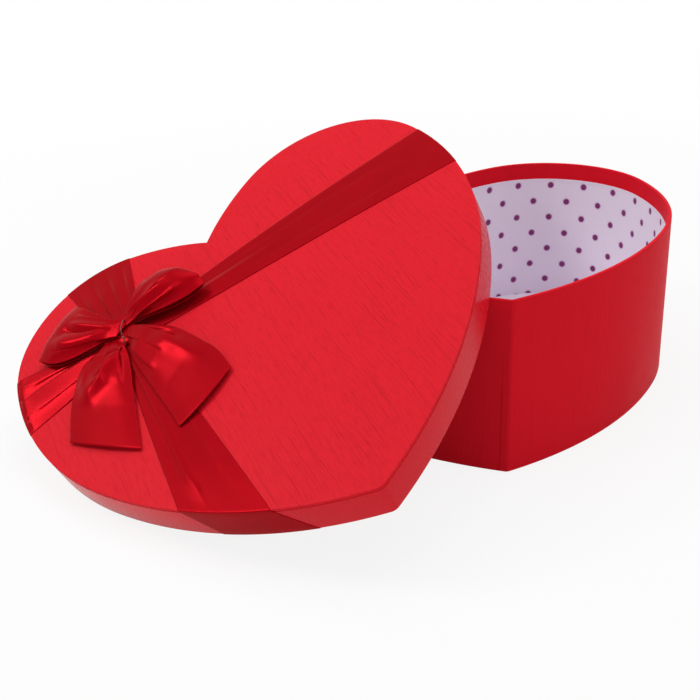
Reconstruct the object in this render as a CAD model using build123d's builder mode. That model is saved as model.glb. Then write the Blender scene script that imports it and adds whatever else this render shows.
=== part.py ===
from build123d import *
import math
import os

# Heart-shaped gift box of wrapped greyboard. The base stands on the ground with its tip towards
# -Y; the lid is off and leans on the base's left side. All lengths are in millimetres, angles in degrees.

# Base outline: the right half is four arcs that run smoothly into each other, mirrored in the Y axis.
# The lobe is a circle; hip, side and crown are larger circles that each touch the last one inside.
# An angle says where on a circle the next arc takes over, counter-clockwise from +X.
lobe_x = 74.6
lobe_y = 70.0
lobe_radius = 68.4
hip_radius = 162.5
hip_angle = 11.0           # lobe to hip
side_radius = 263.0
side_angle = -30.4         # hip to side, which runs on to the tip
crown_radius = 151.0
crown_angle = 115.1        # lobe to crown, which runs on to the notch
tip_radius = 3.5           # rounding of the wrapped edge at the tip

# Boards and papers
base_height = 106.0
wall_board = 2.0           # greyboard of the base wall
floor_board = 2.0          # greyboard of the base floor
top_board = 2.0            # greyboard of the lid top
skirt_board = 1.5          # greyboard of the lid skirt
paper = 0.3                # wrapping and lining paper with its glue
rim_turn_in = 12.6         # wrap folded over the rim and down the inside
bottom_turn_under = 15.0   # wrap folded under the base
bottom_sheet_margin = 3.0  # rim of folded wrap left showing round the sheet that covers the bottom

# Lid
lid_depth = 21.0           # outside height of the lid
lid_clearance = 0.8        # between the base wall and the inside of the skirt when the box is shut
top_wrap_lip = 1.2         # top paper folded down over the edge
skirt_stack = skirt_board + 2 * paper
lid_grow = lid_clearance + skirt_stack
lid_ceiling = paper + top_board + paper

# How the lid leans: the place of its centre, the way it slopes down and its turn in its own plane
lean_x = -131.8
lean_y = -110.4
lean_heading = -139.35
lean_turn = 16.4
rest_gap = 0.4             # left between the lid and the ground, and the lid and the base rim

# Satin ribbons on the lid; both are gathered at the crossing under the bow
ribbon = 0.4
ribbon_width = 50.0
ribbon_pinch = 8.0         # gathered width at the crossing
crossing_x = -71.0
crossing_y = 62.0
right_fan = 216.0          # from the crossing to where each leg has its full width
left_fan = 76.0
upper_fan = 76.0
lower_fan = 165.0
leg_overrun = 40.0         # drawn length of a leg past that place, longer than it needs to be
lower_slant = 17.0         # drift of the lower end along the lid's side as it runs down the skirt
lower_side_angle = -39.0   # the way the lid's side runs there
ribbon_tuck = 10.0         # ribbon end glued inside the skirt
bridge_overlap = 4.0       # how far the upper ribbon lies on itself each side of the crossing

# Bow: a length folded into two loops, a length that makes the two tails, and a twisted wire.
# End corners are places on the lid's top face.
satin = 0.6                # thickness of the bow's satin
left_loop_end = ((-124.0, 76.0), (-92.0, 108.0))
right_loop_end = ((-40.0, 90.0), (-14.0, 52.0))
loop_end_radius = 10.0
loop_root_radius = 1.6
loop_lift = 1.5            # lowest point of a loop above the lid
left_tail_end = ((-93.0, -26.3), (-125.5, 11.4))
right_tail_end = ((-30.4, -15.9), (-67.9, -27.5))
tail_arch = 5.0            # rise of a tail above the straight line to its end
tail_end_lift = 1.5
pinch_length = 6.0         # gathered middle of the bow
pinch_width = 8.0
tail_pinch_height = 2.2
wire = 0.8
wire_gap = 0.15            # around the gathered middle
layer_gap = 0.1            # between the gathered tails and the gathered loops
wire_bend = 1.0            # bending radius of the wire
wire_angle = 79.0          # the way the wire runs over the bow, between the loops and between the tails
twist_radius = 0.9
twist_length = 9.0


def wider_centre(centre, radius, wider_radius, angle):
    """Centre of a wider circle that holds a circle and touches it at `angle`."""
    step = wider_radius - radius
    return centre[0] - step * math.cos(math.radians(angle)), centre[1] - step * math.sin(math.radians(angle))


def axis_angle(centre_x, radius):
    """Angle, from 0 to 180, at which a circle meets the axis of the heart."""
    return math.degrees(math.acos(-centre_x / radius))


def heart_arcs(grow):
    """Arcs of the outline grown by `grow`, counter-clockwise from the tip to the notch and back.

    Each arc is (centre x, centre y, radius, start angle, sweep). Growing keeps every centre and
    lengthens every radius, so outlines of different growth are true offsets of each other.
    """
    lobe = (lobe_x, lobe_y)
    hip = wider_centre(lobe, lobe_radius, hip_radius, hip_angle)
    side = wider_centre(hip, hip_radius, side_radius, side_angle)
    crown = wider_centre(lobe, lobe_radius, crown_radius, crown_angle)
    tip_angle = -axis_angle(side[0], side_radius + grow)
    notch_angle = axis_angle(crown[0], crown_radius + grow)
    right = [
        (*side, side_radius + grow, tip_angle, side_angle - tip_angle),
        (*hip, hip_radius + grow, side_angle, hip_angle - side_angle),
        (*lobe, lobe_radius + grow, hip_angle, crown_angle - hip_angle),
        (*crown, crown_radius + grow, crown_angle, notch_angle - crown_angle),
    ]
    left = [(-x, y, radius, 180 - start - sweep, sweep) for x, y, radius, start, sweep in reversed(right)]
    return right + left


def heart_points(grow, per_arc=28):
    """Points along the outline grown by `grow`."""
    points = []
    for cx, cy, radius, start, sweep in heart_arcs(grow):
        for step in range(per_arc):
            angle = math.radians(start + sweep * step / per_arc)
            points.append((cx + radius * math.cos(angle), cy + radius * math.sin(angle)))
    return points


def heart_face(grow):
    """Flat heart-shaped face grown by `grow`, with its tip rounded."""
    with BuildLine() as outline:
        for cx, cy, radius, start, sweep in heart_arcs(grow):
            CenterArc((cx, cy), radius, start, sweep)
    with BuildSketch() as flat:
        make_face(outline.edges())
        if tip_radius + grow > paper:
            fillet(flat.vertices().sort_by(Axis.Y)[0], tip_radius + grow)
    return flat.sketch


def plate(plane, bottom, top, grow):
    """Add a solid heart from height `bottom` to `top` of the plane to the part being made."""
    with BuildSketch(plane.offset(bottom)) as layer:
        add(heart_face(grow))
    extrude(layer.sketch, amount=top - bottom)


def band(plane, bottom, top, outer, inner):
    """Add a heart-shaped ring between two outlines to the part being made."""
    with BuildSketch(plane.offset(bottom)) as layer:
        add(heart_face(outer))
        add(heart_face(inner), mode=Mode.SUBTRACT)
    extrude(layer.sketch, amount=top - bottom)


def lid_plane_at(tilt, height):
    """Plane of the lid's top face, tilted by `tilt`, with the centre of the heart at `height`."""
    slope_axis = Axis((0, 0, 0), (-math.sin(math.radians(lean_heading)), math.cos(math.radians(lean_heading)), 0))
    across = Vector(1, 0, 0).rotate(Axis.Z, lean_turn).rotate(slope_axis, tilt)
    outward = Vector(0, 0, 1).rotate(slope_axis, tilt)
    return Plane(origin=(lean_x, lean_y, height), x_dir=across, z_dir=outward)


def lower_edge(plane, grow):
    """Points of the lid's lower edge in the frame of the box."""
    down = plane.z_dir * lid_depth
    return [plane.origin + plane.x_dir * x + plane.y_dir * y - down for x, y in heart_points(grow)]


def crossing_heights(edge, outline):
    """Heights of a closed edge at the places where, seen from above, it crosses a closed outline."""
    heights = []
    walls = list(zip(outline, outline[1:] + outline[:1]))
    for a, b in zip(edge, edge[1:] + edge[:1]):
        run_x, run_y = b.X - a.X, b.Y - a.Y
        for (x1, y1), (x2, y2) in walls:
            side_1 = run_x * (y1 - a.Y) - run_y * (x1 - a.X)
            side_2 = run_x * (y2 - a.Y) - run_y * (x2 - a.X)
            if side_1 * side_2 > 0:
                continue
            wall_x, wall_y = x2 - x1, y2 - y1
            side_a = wall_x * (a.Y - y1) - wall_y * (a.X - x1)
            side_b = wall_x * (b.Y - y1) - wall_y * (b.X - x1)
            if side_a * side_b <= 0 and side_a != side_b:
                heights.append(a.Z + (b.Z - a.Z) * side_a / (side_a - side_b))
    return heights


def rim_gap(plane):
    """Least height of the lid's lower edge above the base rim where the two cross."""
    walls = [heart_points(0), heart_points(-wall_board - 2 * paper)]
    edges = [lower_edge(plane, lid_grow), lower_edge(plane, lid_grow - skirt_stack)]
    heights = [height for edge in edges for wall in walls for height in crossing_heights(edge, wall)]
    return min(heights) - base_height if heights else -base_height


def settle_lid():
    """Plane of the lid when its skirt stands on the ground and rests on the rim of the base."""
    low_tilt, high_tilt = 5.0, 60.0
    for halving in range(18):
        tilt = (low_tilt + high_tilt) / 2
        lowest = min(point.Z for point in lower_edge(lid_plane_at(tilt, 0), lid_grow))
        plane = lid_plane_at(tilt, rest_gap - lowest)
        if rim_gap(plane) > rest_gap:
            high_tilt = tilt
        else:
            low_tilt = tilt
    return plane


lid_plane = settle_lid()
os.makedirs("parts", exist_ok=True)

# Distances in from the outside of the base, layer by layer
board_in = paper
wall_in = paper + wall_board
liner_in = wall_in + paper

# Heights of the base's layers
fold_top = 2 * paper
floor_top = fold_top + floor_board

# Base: greyboard floor, set inside the wall
with BuildPart() as base_floor_board:
    plate(Plane.XY, fold_top, floor_top, -wall_in)
base_floor_board.part.label = "base_floor_board"
export_step(base_floor_board.part, "parts/base_floor_board.step")

# Base: greyboard strip bent round the heart
with BuildPart() as base_wall_board:
    band(Plane.XY, fold_top, base_height - paper, -board_in, -wall_in)
base_wall_board.part.label = "base_wall_board"
export_step(base_wall_board.part, "parts/base_wall_board.step")

# Base: red paper over the wall, folded over the rim and under the bottom
with BuildPart() as base_side_wrap:
    band(Plane.XY, paper, base_height, 0, -board_in)
    band(Plane.XY, base_height - paper, base_height, 0, -liner_in)
    band(Plane.XY, base_height - rim_turn_in, base_height, -wall_in, -liner_in)
    band(Plane.XY, paper, fold_top, 0, -bottom_turn_under)
base_side_wrap.part.label = "base_side_wrap"
export_step(base_side_wrap.part, "parts/base_side_wrap.step")

# Base: sheet that covers the bottom and the folded wrap, and that the box stands on
with BuildPart() as base_bottom_sheet:
    plate(Plane.XY, 0, paper, -bottom_sheet_margin)
base_bottom_sheet.part.label = "base_bottom_sheet"
export_step(base_bottom_sheet.part, "parts/base_bottom_sheet.step")

# Base: dotted paper round the inside of the wall, up to the folded wrap
with BuildPart() as base_wall_liner:
    band(Plane.XY, floor_top, base_height - rim_turn_in, -wall_in, -liner_in)
base_wall_liner.part.label = "base_wall_liner"
export_step(base_wall_liner.part, "parts/base_wall_liner.step")

# Base: dotted paper on the floor
with BuildPart() as base_floor_liner:
    plate(Plane.XY, floor_top, floor_top + paper, -liner_in)
base_floor_liner.part.label = "base_floor_liner"
export_step(base_floor_liner.part, "parts/base_floor_liner.step")

# Outlines of the lid, layer by layer
lid_board_out = lid_grow - paper
skirt_in = lid_board_out - skirt_board
lid_inside = lid_grow - skirt_stack
top_board_bottom = -paper - top_board

# Lid: greyboard top
with BuildPart() as lid_top_board:
    plate(lid_plane, top_board_bottom, -paper, lid_board_out)
lid_top_board.part.label = "lid_top_board"
export_step(lid_top_board.part, "parts/lid_top_board.step")

# Lid: greyboard skirt under the edge of the top
with BuildPart() as lid_skirt_board:
    band(lid_plane, paper - lid_depth, top_board_bottom, lid_board_out, skirt_in)
lid_skirt_board.part.label = "lid_skirt_board"
export_step(lid_skirt_board.part, "parts/lid_skirt_board.step")

# Lid: paper over the top, folded down over the edge
with BuildPart() as lid_top_wrap:
    plate(lid_plane, -paper, 0, lid_grow)
    band(lid_plane, -top_wrap_lip, 0, lid_grow, lid_board_out)
lid_top_wrap.part.label = "lid_top_wrap"
export_step(lid_top_wrap.part, "parts/lid_top_wrap.step")

# Lid: strip of paper round the skirt, folded under its edge and up the inside
with BuildPart() as lid_skirt_wrap:
    band(lid_plane, -lid_depth, -top_wrap_lip, lid_grow, lid_board_out)
    band(lid_plane, -lid_depth, paper - lid_depth, lid_grow, lid_inside)
    band(lid_plane, -lid_depth, top_board_bottom, skirt_in, lid_inside)
lid_skirt_wrap.part.label = "lid_skirt_wrap"
export_step(lid_skirt_wrap.part, "parts/lid_skirt_wrap.step")

# Lid: paper on the inside of the top
with BuildPart() as lid_lining:
    plate(lid_plane, -lid_ceiling, top_board_bottom, lid_inside)
lid_lining.part.label = "lid_lining"
export_step(lid_lining.part, "parts/lid_lining.step")

# Jacket of ribbon thickness over the whole lid: top, skirt, lower edge and a strip inside the skirt
with BuildPart() as jacket:
    plate(lid_plane, -lid_depth - ribbon, ribbon, lid_grow + ribbon)
    with BuildSketch(lid_plane.offset(-lid_depth)) as lid_ring:
        add(heart_face(lid_grow))
        add(heart_face(lid_inside), mode=Mode.SUBTRACT)
    extrude(lid_ring.sketch, amount=lid_depth, mode=Mode.SUBTRACT)
    with BuildSketch(lid_plane.offset(-lid_depth - ribbon)) as lid_hollow:
        add(heart_face(lid_inside - ribbon))
    extrude(lid_hollow.sketch, amount=lid_depth + ribbon, mode=Mode.SUBTRACT)
    with BuildSketch(lid_plane.offset(ribbon_tuck - lid_depth)) as lid_over_tuck:
        add(heart_face(lid_inside))
    extrude(lid_over_tuck.sketch, amount=lid_depth - ribbon_tuck, mode=Mode.SUBTRACT)


def leg(direction, fan):
    """Plan of one ribbon leg: gathered at the crossing, full width from the length `fan` on."""
    along = Vector(1, 0).rotate(Axis.Z, direction)
    side = Vector(0, 1).rotate(Axis.Z, direction)
    crossing = Vector(crossing_x, crossing_y)
    stations = ((0, ribbon_pinch / 2), (fan, ribbon_width / 2), (fan + leg_overrun, ribbon_width / 2))
    right_side = [crossing + along * length - side * half for length, half in stations]
    left_side = [crossing + along * length + side * half for length, half in reversed(stations)]
    return right_side + left_side


def fan_prism(plane, height, outline, direction=None):
    """Solid over a plan outline, as deep as `height`, for meeting with the part being made."""
    with BuildSketch(plane) as plan:
        with BuildLine() as edge:
            Polyline(*outline, close=True)
        make_face(edge.edges())
    return extrude(plan.sketch, amount=height, dir=direction, mode=Mode.PRIVATE)


jacket_top = lid_plane.offset(ribbon)
jacket_depth = lid_depth + 2 * ribbon

# Ribbon across the lid, from lobe to lobe
with BuildPart() as ribbon_across:
    add(fan_prism(jacket_top, -jacket_depth, leg(0, right_fan)))
    add(fan_prism(jacket_top, -jacket_depth, leg(180, left_fan)))
    add(jacket.part, mode=Mode.INTERSECT)
ribbon_across.part.label = "ribbon_across"
export_step(ribbon_across.part, "parts/ribbon_across.step")

# Ribbon along the lid, from the left lobe to the left side, passing over the other at the crossing
slant = Vector(lower_slant, 0).rotate(Axis.Z, lower_side_angle)
down_side = lid_plane.x_dir * slant.X + lid_plane.y_dir * slant.Y - lid_plane.z_dir * lid_depth
slanted_depth = down_side.length * (lid_depth + ribbon) / lid_depth
with BuildPart() as ribbon_along:
    add(fan_prism(jacket_top, -jacket_depth, leg(90, upper_fan)))
    add(fan_prism(jacket_top, -ribbon, leg(-90, lower_fan)))
    add(fan_prism(lid_plane, slanted_depth, leg(-90, lower_fan), direction=down_side))
    add(jacket.part, mode=Mode.INTERSECT)
    add(ribbon_across.part, mode=Mode.SUBTRACT)
    with BuildSketch(Plane(jacket_top * Pos(crossing_x, crossing_y, 0))) as bridge:
        Rectangle(ribbon_pinch, ribbon_pinch + 2 * bridge_overlap)
    extrude(bridge.sketch, amount=ribbon)
ribbon_along.part.label = "ribbon_along"
export_step(ribbon_along.part, "parts/ribbon_along.step")

# Heights of the bow's layers above the lid, at the crossing
knot_plane = Plane(lid_plane * Pos(crossing_x, crossing_y, 0))
wire_low = 2 * ribbon + wire_gap + wire / 2
tail_pinch_low = wire_low + wire / 2 + wire_gap
loop_pinch_low = tail_pinch_low + tail_pinch_height + layer_gap
loop_pinch_height = 2 * loop_root_radius
wire_high = loop_pinch_low + loop_pinch_height + wire_gap + wire / 2
tail_root = tail_pinch_low + tail_pinch_height / 2
loop_root = loop_pinch_low + loop_root_radius

# Bow: the tie wire, one turn round the gathered middle with its ends twisted together
ring_plane = Plane(knot_plane * Rot(0, 0, wire_angle) * Rot(90, 0, 0))
ring_half = pinch_width / 2 + wire_gap + wire / 2
twist_root = ring_plane.from_local_coords((-ring_half, wire_high, 0))
with BuildPart() as bow_tie_wire:
    with BuildLine(ring_plane) as ring_path:
        FilletPolyline(
            (ring_half, wire_low),
            (ring_half, wire_high),
            (-ring_half, wire_high),
            (-ring_half, wire_low),
            radius=wire_bend,
            close=True,
        )
    with BuildSketch(Plane(ring_path.line ^ 0)) as wire_section:
        Circle(wire / 2)
    sweep(wire_section.sketch, path=ring_path.line)
    with BuildSketch(Plane(twist_root, z_dir=-ring_plane.x_dir)) as twist:
        Circle(twist_radius)
    extrude(twist.sketch, amount=twist_length)
bow_tie_wire.part.label = "bow_tie_wire"
export_step(bow_tie_wire.part, "parts/bow_tie_wire.step")

# Room for the wire through the satin
with BuildPart() as wire_room:
    with BuildSketch(ring_plane) as room:
        with Locations((0, (wire_low + wire_high) / 2)):
            Rectangle(2 * ring_half + wire + 2 * wire_gap, wire_high - wire_low + wire + 2 * wire_gap)
            Rectangle(2 * ring_half - wire - 2 * wire_gap, wire_high - wire_low - wire - 2 * wire_gap, mode=Mode.SUBTRACT)
    extrude(room.sketch, amount=wire / 2 + wire_gap, both=True)


def petal_plan(end):
    """Plan of a loop or tail: the gathered width at the crossing and the two corners of its end."""
    first, second = Vector(*end[0]), Vector(*end[1])
    crossing = Vector(crossing_x, crossing_y)
    along = ((first + second) / 2 - crossing).normalized()
    side = along.rotate(Axis.Z, 90) * (pinch_width / 2)
    if (second - first).dot(side) < 0:
        side = -side
    return [crossing - side, first, second, crossing + side]


def petal_plane(end):
    """Upright plane through the crossing and the middle of a loop's or tail's end, and the distance between."""
    middle_x, middle_y = (end[0][0] + end[1][0]) / 2, (end[0][1] + end[1][1]) / 2
    run_x, run_y = middle_x - crossing_x, middle_y - crossing_y
    direction = math.degrees(math.atan2(run_y, run_x))
    return Plane(knot_plane * Rot(0, 0, direction) * Rot(90, 0, 0)), math.hypot(run_x, run_y)


petal_height = 2 * (loop_lift + 2 * loop_end_radius)


def loop_petal(end):
    """One loop of the bow: a band bent round in a teardrop, fanning out from the gathered middle."""
    plane, length = petal_plane(end)
    with BuildSketch(plane) as teardrop:
        for trim, mode in ((0, Mode.ADD), (satin, Mode.SUBTRACT)):
            with BuildSketch(mode=mode):
                with Locations((0, loop_root)):
                    Circle(loop_root_radius - trim)
                with Locations((length - loop_end_radius, loop_lift + loop_end_radius)):
                    Circle(loop_end_radius - trim)
                make_hull()
    with BuildPart() as petal:
        extrude(teardrop.sketch, amount=ribbon_width, both=True)
        add(fan_prism(lid_plane, petal_height, petal_plan(end)), mode=Mode.INTERSECT)
    return petal.part


def tail_petal(end):
    """One tail of the bow: an arched strip fanning out from the gathered middle to its cut end."""
    plane, length = petal_plane(end)
    with BuildLine() as arch:
        ThreePointArc(
            (0, tail_root),
            (length / 2, (tail_root + tail_end_lift) / 2 + tail_arch),
            (length, tail_end_lift),
        )
    with BuildSketch(plane) as strip:
        trace(arch.edges(), line_width=satin)
    with BuildPart() as petal:
        extrude(strip.sketch, amount=ribbon_width, both=True)
        add(fan_prism(lid_plane, petal_height, petal_plan(end)), mode=Mode.INTERSECT)
    return petal.part


# Bow: two loops joined by their gathered middle
with BuildPart() as bow_loops:
    add(loop_petal(left_loop_end))
    add(loop_petal(right_loop_end))
    with BuildSketch(knot_plane.offset(loop_pinch_low)) as loop_middle:
        Rectangle(pinch_length, pinch_width)
    extrude(loop_middle.sketch, amount=loop_pinch_height)
    add(wire_room.part, mode=Mode.SUBTRACT)
bow_loops.part.label = "bow_loops"
export_step(bow_loops.part, "parts/bow_loops.step")

# Bow: two tails joined by their gathered middle, under the loops
with BuildPart() as bow_tails:
    add(tail_petal(left_tail_end))
    add(tail_petal(right_tail_end))
    with BuildSketch(knot_plane.offset(tail_pinch_low)) as tail_middle:
        Rectangle(pinch_length, pinch_width)
    extrude(tail_middle.sketch, amount=tail_pinch_height)
    add(bow_loops.part, mode=Mode.SUBTRACT)
    add(wire_room.part, mode=Mode.SUBTRACT)
bow_tails.part.label = "bow_tails"
export_step(bow_tails.part, "parts/bow_tails.step")
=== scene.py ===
# %% [markdown]
# A heart-shaped gift box stands on a pale floor with its lid leaned against it. The packed model gives
# the exact place of every board and paper. Here each visible paper gets rounded folds and grain, and the
# plain solids that stand for satin are replaced by gathered ribbon.

# %% Load the packed model
import math

import bmesh
import bpy
import numpy as np
from mathutils import Matrix, Vector


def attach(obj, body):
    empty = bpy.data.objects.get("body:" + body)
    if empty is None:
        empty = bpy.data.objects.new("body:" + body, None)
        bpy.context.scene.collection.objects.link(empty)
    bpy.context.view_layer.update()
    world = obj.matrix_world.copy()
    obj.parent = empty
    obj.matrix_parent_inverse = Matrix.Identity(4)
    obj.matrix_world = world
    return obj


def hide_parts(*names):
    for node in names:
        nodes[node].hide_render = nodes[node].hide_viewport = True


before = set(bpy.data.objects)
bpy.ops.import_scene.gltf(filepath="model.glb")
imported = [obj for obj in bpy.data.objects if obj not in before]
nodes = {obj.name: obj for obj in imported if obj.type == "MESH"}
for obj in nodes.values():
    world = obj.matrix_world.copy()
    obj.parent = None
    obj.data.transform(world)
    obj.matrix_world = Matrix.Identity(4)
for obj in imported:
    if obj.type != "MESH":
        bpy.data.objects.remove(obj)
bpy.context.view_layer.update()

MM = 0.001

# %% [markdown]
# The outline of the box is four arcs a side that run smoothly into each other. Written as circles, it can
# be grown or shrunk by any amount without losing its shape, and that is how the layers of a wrapped wall
# are related. A grid of (growth, place along the outline) then gives any ring-shaped paper.

# %% The heart outline
LOBE_CENTRE = np.array([74.6, 70.0]) * MM
LOBE_RADIUS = 68.4 * MM
HIP_RADIUS, HIP_ANGLE = 162.5 * MM, math.radians(11.0)
SIDE_RADIUS, SIDE_ANGLE = 263.0 * MM, math.radians(-30.4)
CROWN_RADIUS, CROWN_ANGLE = 151.0 * MM, math.radians(115.1)
TIP_RADIUS = 3.5 * MM
LEAST_TIP_RADIUS = 0.05 * MM
ARC_STEPS = (8, 44, 30, 48, 26)               # tip, side, hip, lobe, crown
ARC_CROWDING = (1.0, 1.5, 1.0, 1.0, 1.0)      # above 1, points crowd to the start of the arc


def wider_centre(centre, radius, wider_radius, angle):
    """Centre of a wider circle that touches a circle from outside: centre - (R - r)(cos a, sin a)."""
    return centre - (wider_radius - radius) * np.array([math.cos(angle), math.sin(angle)])


HIP_CENTRE = wider_centre(LOBE_CENTRE, LOBE_RADIUS, HIP_RADIUS, HIP_ANGLE)
SIDE_CENTRE = wider_centre(HIP_CENTRE, HIP_RADIUS, SIDE_RADIUS, SIDE_ANGLE)
CROWN_CENTRE = wider_centre(LOBE_CENTRE, LOBE_RADIUS, CROWN_RADIUS, CROWN_ANGLE)


def heart_outline(grow):
    """Outlines grown by each value of `grow`, as an array (rows, points, 2), counter-clockwise from the tip.

    Every point is centre + (radius + grow)(cos a, sin a). The tip is a small circle that touches both
    sides from inside, and the crown ends where its circle meets the axis, x = 0.
    """
    grow = np.atleast_1d(np.asarray(grow, float))[:, None]
    tip_radius = np.maximum(TIP_RADIUS + grow, LEAST_TIP_RADIUS)
    side_radius, crown_radius = SIDE_RADIUS + grow, CROWN_RADIUS + grow
    tip_y = SIDE_CENTRE[1] - np.sqrt((side_radius - tip_radius) ** 2 - SIDE_CENTRE[0] ** 2)
    touch = np.arctan2(tip_y - SIDE_CENTRE[1], -SIDE_CENTRE[0])
    notch = np.arccos(-CROWN_CENTRE[0] / crown_radius)
    arcs = (
        (0.0, tip_y, tip_radius, -math.pi / 2, touch),
        (SIDE_CENTRE[0], SIDE_CENTRE[1], side_radius, touch, SIDE_ANGLE),
        (HIP_CENTRE[0], HIP_CENTRE[1], HIP_RADIUS + grow, SIDE_ANGLE, HIP_ANGLE),
        (LOBE_CENTRE[0], LOBE_CENTRE[1], LOBE_RADIUS + grow, HIP_ANGLE, CROWN_ANGLE),
        (CROWN_CENTRE[0], CROWN_CENTRE[1], crown_radius, CROWN_ANGLE, notch),
    )
    half = []
    for (x, y, radius, start, end), count, crowding in zip(arcs, ARC_STEPS, ARC_CROWDING):
        angle = start + (end - start) * (np.arange(count) / count) ** crowding
        half.append(np.stack([x + radius * np.cos(angle), y + radius * np.sin(angle)], axis=-1))
    notch_point = np.stack([0 * notch, CROWN_CENTRE[1] + crown_radius * np.sin(notch)], axis=-1)
    right = np.concatenate(half + [notch_point], axis=1)
    left = right[:, -2:0:-1] * np.array([-1.0, 1.0])
    return np.concatenate([right, left], axis=1)


def running_length(points):
    """Distance along a line of points: 0, then the running sum of the steps between them."""
    steps = np.linalg.norm(np.diff(points, axis=0), axis=1)
    return np.concatenate([[0.0], np.cumsum(steps)])


base_outline = heart_outline(0.0)[0]
outline_length = running_length(np.vstack([base_outline, base_outline[:1]]))
print("outline points", len(base_outline), "perimeter mm", round(outline_length[-1] / MM, 1))

# %% [markdown]
# The lid lies at a slant. Its slope and height are read from the packed model: the flat lining gives the
# direction that the lid faces, and the top paper gives its height. Its turn in its own plane and the place
# of its centre are the design's own values. Pieces of the lid could be drawn at a slant, but it is easier to
# work them out flat and carry them into that plane.

# %% The lid's plane
LEAN_CENTRE = np.array([-131.8, -110.4]) * MM
LEAN_TURN = math.radians(16.4)


def node_points(name):
    """All corners of a packed node as an array (points, 3)."""
    mesh = nodes[name].data
    flat = np.empty(len(mesh.vertices) * 3, np.float32)
    mesh.vertices.foreach_get("co", flat)
    return flat.reshape(-1, 3).astype(float)


lining = node_points("lid_lining")
lid_normal = np.linalg.svd(lining - lining.mean(axis=0), full_matrices=False)[2][2]
lid_normal *= np.sign(lid_normal[2])
slope_axis = np.cross([0.0, 0.0, 1.0], lid_normal)
slope = math.asin(np.linalg.norm(slope_axis))
slope_axis /= np.linalg.norm(slope_axis)


def turned(vector, axis, angle):
    """A vector turned about an axis: v cos a + (k x v) sin a + k (k . v)(1 - cos a)."""
    along = axis * np.dot(axis, vector) * (1 - math.cos(angle))
    return vector * math.cos(angle) + np.cross(axis, vector) * math.sin(angle) + along


lid_x = turned(np.array([math.cos(LEAN_TURN), math.sin(LEAN_TURN), 0.0]), slope_axis, slope)
lid_y = np.cross(lid_normal, lid_x)
lid_top_height = (node_points("lid_top_wrap") @ lid_normal).max()
lid_origin_z = (lid_top_height - LEAN_CENTRE @ lid_normal[:2]) / lid_normal[2]
lid_origin = np.array([*LEAN_CENTRE, lid_origin_z])
lid_axes = np.stack([lid_x, lid_y, lid_normal])


def on_lid(points):
    """Points given in the lid's plane (right, towards the notch, out of the top), in the box's frame."""
    return lid_origin + points @ lid_axes


print("lid slope", round(math.degrees(slope), 2), "centre", np.round(lid_origin / MM, 2))

# %% [markdown]
# Every new piece is a grid of points. These helpers turn the grid into a mesh, with a UV map in metres so
# that grain, dots and weave keep their real size, and mark creases by angle so that folds stay crisp. The
# pieces could be modelled by hand, but a formula can be read, changed and run again.

# %% Grids to meshes
CREASE = math.radians(40)
WELD_DISTANCE = 0.001 * MM


def grid_mesh(name, points, uv, closed_u=False, closed_v=False):
    """Mesh over a grid of points (rows v, columns u, 3). `uv` has one more row or column where it closes."""
    rows, columns = points.shape[:2]
    v_count, u_count = rows - 1 + closed_v, columns - 1 + closed_u
    v, u = np.meshgrid(np.arange(v_count), np.arange(u_count), indexing="ij")
    corner_v = np.stack([v, v, v + 1, v + 1], axis=-1).reshape(-1)
    corner_u = np.stack([u, u + 1, u + 1, u], axis=-1).reshape(-1)
    corners = (corner_v % rows) * columns + corner_u % columns
    mesh = bpy.data.meshes.new(name)
    mesh.from_pydata(points.reshape(-1, 3), [], corners.reshape(-1, 4))
    layer = mesh.uv_layers.new(name="flat")
    layer.uv.foreach_set("vector", uv[corner_v, corner_u].astype(np.float32).reshape(-1))
    return finish_mesh(name, mesh)


def finish_mesh(name, mesh):
    """Smooth shading with creases kept, as an object in the scene."""
    mesh.polygons.foreach_set("use_smooth", np.ones(len(mesh.polygons), bool))
    mesh.set_sharp_from_angle(angle=CREASE)
    piece = bpy.data.objects.new(name, mesh)
    bpy.context.scene.collection.objects.link(piece)
    return piece


def weld(piece):
    """Merges corners that lie on each other, such as the many of a pole, and points all faces outwards."""
    mesh = bmesh.new()
    mesh.from_mesh(piece.data)
    bmesh.ops.remove_doubles(mesh, verts=mesh.verts, dist=WELD_DISTANCE)
    bmesh.ops.dissolve_degenerate(mesh, edges=mesh.edges, dist=WELD_DISTANCE)
    bmesh.ops.recalc_face_normals(mesh, faces=mesh.faces)
    mesh.to_mesh(piece.data)
    mesh.free()
    return piece


print("folds sharper than", round(math.degrees(CREASE)), "degrees stay crisp")

# %% [markdown]
# The papers of the box are of two kinds: strips that go round the wall, and hearts that lie on it. A strip is
# the profile of its folds carried round the outline. A heart is a fan of outlines that shrink to a centre.
# Bevels on the solids could round the folds too, but they would give the grain no flat map to follow.

# %% Strips and hearts of paper
MOST_OF_A_SIDE = 0.45          # share of a straight side that one rounded corner may take up
DISC_CENTRE = np.array([0.0, 20.0]) * MM


def rounded(corners, radius, steps=5):
    """A path through corners with each inner corner rounded: a quadratic curve between its two tangents."""
    corners = np.asarray(corners, float)
    path = [corners[0]]
    for before, corner, after in zip(corners, corners[1:], corners[2:]):
        to_before, to_after = before - corner, after - corner
        shorter = min(np.linalg.norm(to_before), np.linalg.norm(to_after))
        reach = min(radius, MOST_OF_A_SIDE * shorter)
        start = corner + to_before / np.linalg.norm(to_before) * reach
        end = corner + to_after / np.linalg.norm(to_after) * reach
        share = np.linspace(0, 1, steps)[:, None]
        path.extend((1 - share) ** 2 * start + 2 * share * (1 - share) * corner + share**2 * end)
    path.append(corners[-1])
    return np.array(path)


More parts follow.
